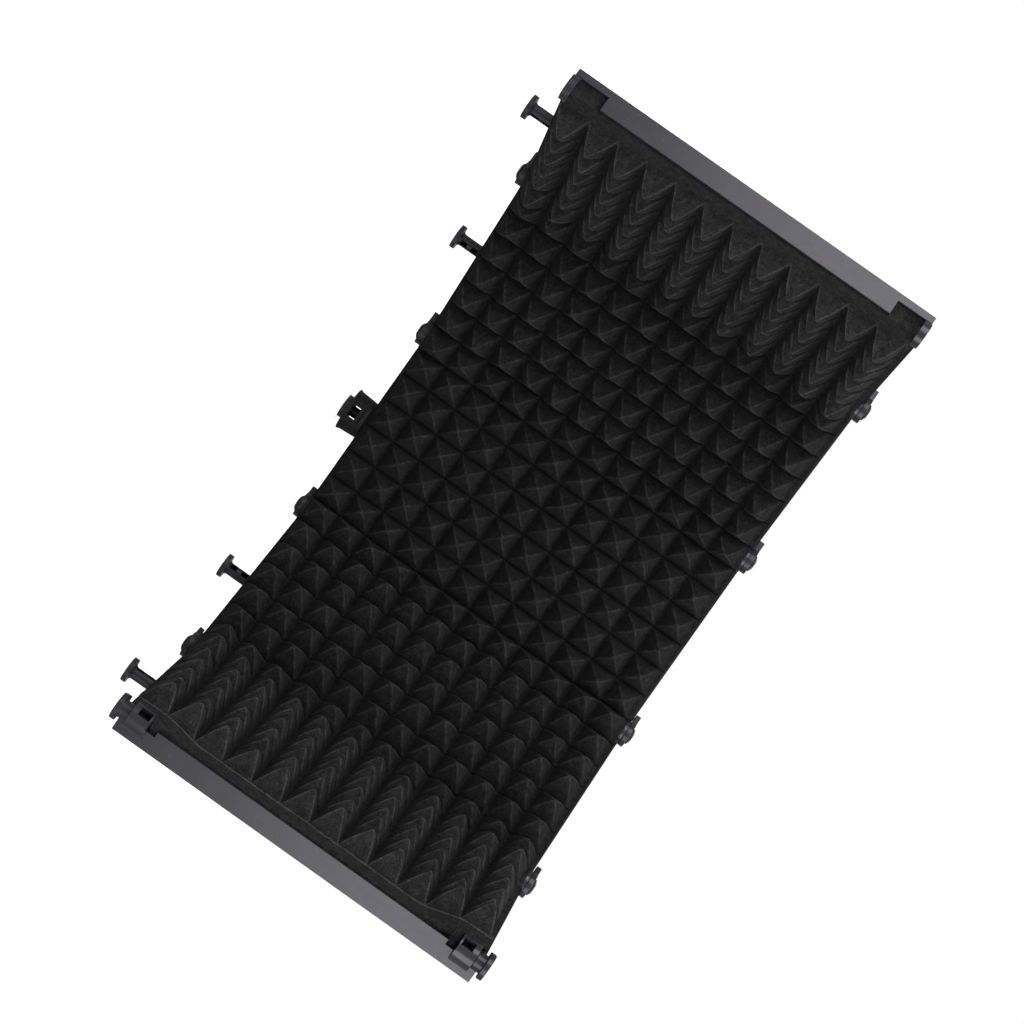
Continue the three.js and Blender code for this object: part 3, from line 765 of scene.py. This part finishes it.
def ring(name, panel, edge, slot, radius, low, high):
    """Flat round disc on a panel's outer hinge axis, its height measured outwards from the edge."""
    profile = [
        (radius - RING_ROUNDING, low),
        (radius, low + RING_ROUNDING),
        (radius, high - RING_ROUNDING),
        (radius - RING_ROUNDING, high),
    ]
    base, out = (HEIGHT, 1) if edge == "upper" else (0.0, -1)
    bm = bmesh.new()
    circles = []
    for r, level in profile:
        circle = []
        for k in range(RING_SIDES):
            angle = 2 * math.pi * k / RING_SIDES
            x, y = WIDTH + r * math.cos(angle), r * math.sin(angle)
            circle.append(bm.verts.new((x, y, base + out * level)))
        circles.append(circle)
    for lower, upper in zip(circles, circles[1:]):
        for k in range(RING_SIDES):
            n = (k + 1) % RING_SIDES
            bm.faces.new((lower[k], lower[n], upper[n], upper[k]))
    bm.faces.new(circles[0][::-1])
    bm.faces.new(circles[-1])
    bmesh.ops.recalc_face_normals(bm, faces=bm.faces)
    mesh = bpy.data.meshes.new(name)
    bm.to_mesh(mesh)
    bm.free()
    obj = add_object(name, mesh, slot)
    obj.matrix_world = PLACE[panel]
    mesh.set_sharp_from_angle(angle=math.radians(30))
    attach(obj, f"{panel}_{edge}_knob")
    return obj


def make_mouldings():
    for panel in PANELS:
        frame_part(panel, f"{panel}_tray", "frame_plastic", TRAY_EDGE, WIDTH - TRAY_EDGE)
        frame_part(panel, f"{panel}_ear_post", "hinge_plastic", 0, POST_EDGE)
        frame_part(panel, f"{panel}_barrel_post", "hinge_plastic", WIDTH - POST_EDGE, WIDTH)
        for edge in ("lower", "upper"):
            finished_copy(f"{panel}_{edge}_barrel", "hinge_plastic", ROUNDING["barrel"])
            finished_copy(f"{panel}_{edge}_ear", "hinge_plastic", ROUNDING["ear"])
            finished_copy(f"{panel}_{edge}_knob", "knob_plastic", ROUNDING["knob"])
            if panel != "outer_right":
                # Painted shade: black rings that stand in for the shadow lines under each disc and cap.
                ring(f"{panel}_{edge}_disc_shadow_ring", panel, edge, "frame_plastic", *DISC_SHADOW_RING)
                ring(f"{panel}_{edge}_cap_shadow_ring", panel, edge, "frame_plastic", *CAP_SHADOW_RING)
        if panel != "center":
            finished_copy(f"{panel}_foot", "foot_plastic", ROUNDING["foot"])
    finished_copy("stand_bracket", "frame_plastic", ROUNDING["stand"])
    finished_copy("stand_bolt", "bolt_steel", ROUNDING["stand"])


# ---- stage, light and camera --------------------------------------------------------------------

# Place in millimetres from the centre frame's lower front edge, angles in degrees, lens in millimetres.
CAMERA_X = -16.5
CAMERA_Y = -2456.0
CAMERA_Z = 205.6
CAMERA_YAW = 0.2
CAMERA_PITCH = -1.505
CAMERA_ROLL = 125.25
CAMERA_LENS = 105.47


def make_camera():
    camera = bpy.data.cameras.new("camera")
    camera.lens = CAMERA_LENS
    camera.sensor_width = 36
    camera.clip_start = 0.05
    camera.clip_end = 60
    obj = bpy.data.objects.new("camera", camera)
    bpy.context.scene.collection.objects.link(obj)
    place = Matrix.Translation(ORIGIN + Vector((CAMERA_X, CAMERA_Y, CAMERA_Z)) * MM)
    yaw = Matrix.Rotation(math.radians(-CAMERA_YAW), 4, "Z")
    pitch = Matrix.Rotation(math.radians(90 + CAMERA_PITCH), 4, "X")
    roll = Matrix.Rotation(math.radians(CAMERA_ROLL), 4, "Z")
    obj.matrix_world = place @ yaw @ pitch @ roll
    bpy.context.scene.camera = obj


WHITE = (1, 1, 1)
COOL = (1.0, 0.975, 1.09)
AMBIENT = 0.30
FLOOR_SIZE = 30.0  # half the floor's width, in metres

# For each light: its place and a point that it faces, in metres, its width, height, power and colour.
LIGHTS = {
    "overhead": ((0.0, -1.1, 1.5), (0.0, 0.0, 0.2), 1.6, 1.0, 14, WHITE),
    "left": ((-1.6, -1.45, 0.84), (-0.9, -0.74, 0.84), 1.5, 1.5, 22, COOL),
    "right": ((1.55, -1.5, 0.84), (0.85, -0.79, 0.84), 1.5, 1.5, 21, COOL),
    "back": ((0.0, 1.7, 1.2), (0.0, 0.0, 0.2), 1.6, 0.9, 10, WHITE),
}


def area_light(name, place, target, width, height, power, colour):
    light = bpy.data.lights.new(name, "AREA")
    light.shape = "RECTANGLE"
    light.size = width
    light.size_y = height
    light.energy = power
    light.color = colour
    obj = bpy.data.objects.new(name, light)
    bpy.context.scene.collection.objects.link(obj)
    obj.location = place
    direction = Vector(target) - Vector(place)
    obj.rotation_euler = direction.to_track_quat("-Z", "Y").to_euler()


def make_stage():
    world = bpy.data.worlds.new("studio")
    bpy.context.scene.world = world
    world.use_nodes = True
    tree = world.node_tree
    backdrop = tree.nodes["Background"]
    backdrop.inputs["Color"].default_value = (1, 1, 1, 1)
    ambient = tree.nodes.new("ShaderNodeBackground")
    ambient.inputs["Color"].default_value = (1, 1, 1, 1)
    ambient.inputs["Strength"].default_value = AMBIENT
    seen = tree.nodes.new("ShaderNodeLightPath")
    mix = tree.nodes.new("ShaderNodeMixShader")
    tree.links.new(seen.outputs["Is Camera Ray"], mix.inputs["Fac"])
    tree.links.new(ambient.outputs["Background"], mix.inputs[1])
    tree.links.new(backdrop.outputs["Background"], mix.inputs[2])
    tree.links.new(mix.outputs["Shader"], tree.nodes["World Output"].inputs["Surface"])
    bpy.context.scene.view_settings.view_transform = "Standard"
    bpy.context.scene.view_settings.look = "None"

    mesh = bpy.data.meshes.new("floor")
    corners = [(x * FLOOR_SIZE, y * FLOOR_SIZE, 0) for x, y in ((-1, -1), (1, -1), (1, 1), (-1, 1))]
    mesh.from_pydata(corners, [], [(0, 1, 2, 3)])
    floor = bpy.data.objects.new("floor", mesh)
    bpy.context.scene.collection.objects.link(floor)
    nodes = Nodes("floor_paper")
    nodes.set(Base_Color=(0.9, 0.9, 0.9, 1), Roughness=0.9)
    nodes.set(Emission_Color=(1, 1, 1, 1), Emission_Strength=0.8)
    mesh.materials.append(nodes.material)
    floor.visible_diffuse = False
    floor.visible_glossy = False

    for name, values in LIGHTS.items():
        area_light(name, *values)


make_camera()
make_foam()
make_grilles()
make_mouldings()
make_stage()
